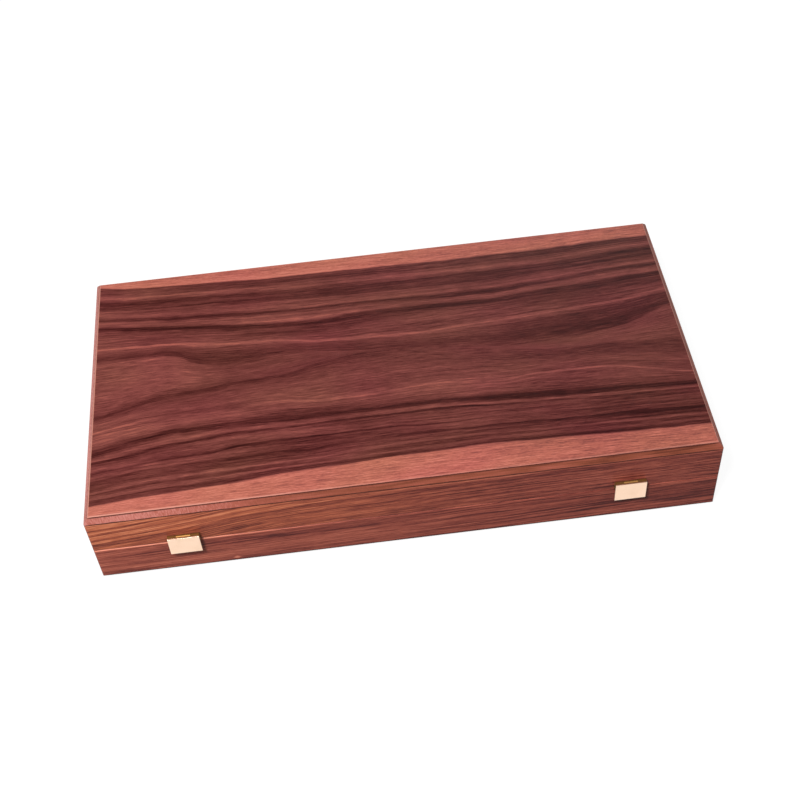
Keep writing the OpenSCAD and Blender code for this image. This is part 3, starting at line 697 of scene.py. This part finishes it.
# The catches are tarnished and darkened as painted shade behind the flaps' backs
dress(brass_look("catch_brass", CATCH_BRASS, 6.0, 0.28, 0.42, tarnished_and_shaded_from=FLAP_BACK_Y),
      *on_both(SIDES, "catch_plate", "catch_flap", "catch_pin", "catch_keeper"))
dress(brass_look("screw_brass", SCREW_BRASS, 4.0, 0.25, 0.4),
      "hinge_base_screws", "hinge_lid_screws", "catch_plate_screws", "catch_keeper_screws")
for die in DICE:
    stops, pip_stops = (IVORY, EBONY) if die.startswith("light") else (EBONY, IVORY)
    dress(die_look(die + "_paint", die, stops, pip_stops), die)
dress(clouded_look("cube_ivory", IVORY, 0.2, 0.24, 0.36, Specular_IOR_Level=0.45, Coat_Weight=0.2,
                   Coat_Roughness=0.12), "doubling_cube")


# Numbers of the doubling cube, and the way each looks out in the cube's own axes
CUBE_NUMBERS = {"64": (0, 0, 1), "2": (0, -1, 0), "4": (1, 0, 0), "8": (0, 1, 0), "16": (-1, 0, 0),
                "32": (0, 0, -1)}
CUBE_EDGE = 20.0
CUBE_TURN = 9.0       # about the upright, in degrees
NUMBER_SIZE = 14.0
NUMBER_RAISE = 0.05   # how far the ink stands out of the cube


def type_mesh(text, size, raise_by):
    """A number as a closed mesh, its middle at the origin, standing raise_by above and below the XY plane."""
    curve = bpy.data.curves.new("number", "FONT")
    curve.body = text
    curve.align_x = curve.align_y = "CENTER"
    curve.size = size
    curve.extrude = raise_by
    curve.resolution_u = 6
    drawn = bpy.data.objects.new("number", curve)
    mesh = bpy.data.meshes.new_from_object(drawn)
    bpy.data.objects.remove(drawn)
    return mesh


def cube_numbers():
    """The numbers on the doubling cube, as one piece."""
    low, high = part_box("doubling_cube")
    place = Matrix.Translation((low + high) / 2) @ Matrix.Rotation(math.radians(CUBE_TURN), 4, "Z")
    shape = bmesh.new()
    for text, out in CUBE_NUMBERS.items():
        out = Vector(out)
        up = Vector((0, 1, 0)) if out.z else Vector((0, 0, 1))
        face = Matrix((up.cross(out), up, out)).transposed().to_4x4()
        face.translation = out * (CUBE_EDGE / 2 * MM)
        number = type_mesh(text, NUMBER_SIZE * MM, NUMBER_RAISE * MM)
        number.transform(place @ face)
        shape.from_mesh(number)
    bmesh.ops.remove_doubles(shape, verts=shape.verts, dist=1e-7)
    mesh = bpy.data.meshes.new("doubling_cube_numbers")
    shape.to_mesh(mesh)
    shape.free()
    made = bpy.data.objects.new("doubling_cube_numbers", mesh)
    scene.collection.objects.link(made)
    mesh.materials.append(clouded_look("number_ink", EBONY, 0.6, 0.35, 0.5, Specular_IOR_Level=0.4))
    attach(made, "doubling_cube")


cube_numbers()


# Eased edges
WELD_GAP = 0.01     # corners of a node this close are one
FLAT_ANGLE = 1.0    # faces that meet at less, in degrees, are one
SHARP_ANGLE = 40.0  # edges that turn by more, in degrees, are eased


def ease(width, names):
    """Rounds the sharp edges of some nodes by width, in millimetres."""
    for name in names:
        stack = nodes[name].modifiers
        stack.new("joined", "WELD").merge_threshold = WELD_GAP * MM
        flat = stack.new("flat_faces", "DECIMATE")
        flat.decimate_type = "DISSOLVE"
        flat.angle_limit = math.radians(FLAT_ANGLE)
        eased = stack.new("eased", "BEVEL")
        eased.width = width * MM
        eased.segments = 2
        eased.limit_method = "ANGLE"
        eased.angle_limit = math.radians(SHARP_ANGLE)
        stack.new("shading", "WEIGHTED_NORMAL")


ease(0.1, on_both(SIDES, "catch_plate", "catch_flap", "catch_keeper"))
ease(0.25, on_both(SIDES, "hinge_base_leaf", "hinge_lid_leaf"))
ease(0.6, on_both(HALVES, "tray_divider", "tray_block"))


# Stage, in metres
FLOOR_SIZE = 80.0
FLOOR_Z = -0.0003    # just below the case, so that no two faces share a plane
FLOOR_GLOW = 0.92    # how white the floor is, and the horizon behind it
FLOOR_GREY = 0.08    # how much of a shadow it shows
# The studio is as pale as the floor at the horizon and dimmer elsewhere, so that shadows stay crisp:
# elevation in degrees and strength
STUDIO = [(-90, 0.03), (-5, 0.03), (-2, FLOOR_GLOW), (5, FLOOR_GLOW), (14, 0.14), (90, 0.14)]
# Square area lights, aimed at one point: place, width and power in watts
LIGHT_AIM = Vector((0, 0, 0.04))
LIGHTS = {
    "key": ((-0.50, -1.00, 1.75), 0.3, 65),
    "left_fill": ((-1.50, -0.70, 1.20), 0.5, 16),
    "right_fill": ((1.40, -0.70, 1.30), 0.5, 13),
    "back_fill": ((0.50, 1.60, 0.40), 0.9, 18),
}
# Camera at the photograph's place, with its slight roll: its axes, its place, and its lens in millimetres
RIGHT = Vector((0.99257, -0.10971, -0.0527))
DOWN = Vector((-0.11718, -0.74434, -0.65744))
AHEAD = Vector((0.0329, 0.65873, -0.75166))
EYE = Vector((-0.02962, -0.73138, 0.85782))
LENS, SENSOR = 59.93, 36.0
CLIP_START = 0.01


def add_floor():
    """A floor that glows, so that it is white in every view."""
    half = FLOOR_SIZE / 2
    corners = [(-half, -half, FLOOR_Z), (half, -half, FLOOR_Z), (half, half, FLOOR_Z), (-half, half, FLOOR_Z)]
    mesh = bpy.data.meshes.new("floor")
    mesh.from_pydata(corners, [], [(0, 1, 2, 3)])
    grey = (FLOOR_GREY, FLOOR_GREY, FLOOR_GREY, 1)
    white = Look("floor_white", Base_Color=grey, Roughness=0.9, Specular_IOR_Level=0.0,
                 Emission_Color=(1, 1, 1, 1), Emission_Strength=FLOOR_GLOW)
    mesh.materials.append(white.material)
    floor = bpy.data.objects.new("floor", mesh)
    scene.collection.objects.link(floor)
    # The floor's glow lights nothing, or it would fill the shadows on the front
    floor.visible_diffuse = False


def add_studio():
    """A world of light that changes with the height of the way one looks."""
    world = bpy.data.worlds.new("studio")
    world.use_nodes = True
    sky = Graph(world.node_tree)
    way = sky.node("TexCoord").outputs["Generated"]
    upward = sky.node("SeparateXYZ", {0: way}).outputs["Z"]
    stops = [((math.sin(math.radians(elevation)) + 1) / 2, (strength, strength, strength, 1))
             for elevation, strength in STUDIO]
    sky.feed(sky.tree.nodes["Background"].inputs["Color"], sky.ramp(sky.scale(upward, 0.5, 0.5), stops))
    scene.world = world


def add_lights():
    for name, (place, width, power) in LIGHTS.items():
        lamp = bpy.data.lights.new(name, "AREA")
        lamp.size = width
        lamp.energy = power
        made = bpy.data.objects.new(name, lamp)
        made.location = place
        made.rotation_mode = "QUATERNION"
        made.rotation_quaternion = (LIGHT_AIM - Vector(place)).to_track_quat("-Z", "Y")
        scene.collection.objects.link(made)


def add_camera():
    camera = bpy.data.objects.new("camera", bpy.data.cameras.new("camera"))
    camera.data.lens = LENS
    camera.data.sensor_width = SENSOR
    camera.data.clip_start = CLIP_START
    camera.matrix_world = Matrix((RIGHT, -DOWN, -AHEAD)).transposed().to_4x4()
    camera.location = EYE
    scene.collection.objects.link(camera)
    scene.camera = camera


add_floor()
add_studio()
add_lights()
add_camera()
scene.view_settings.view_transform = "Standard"
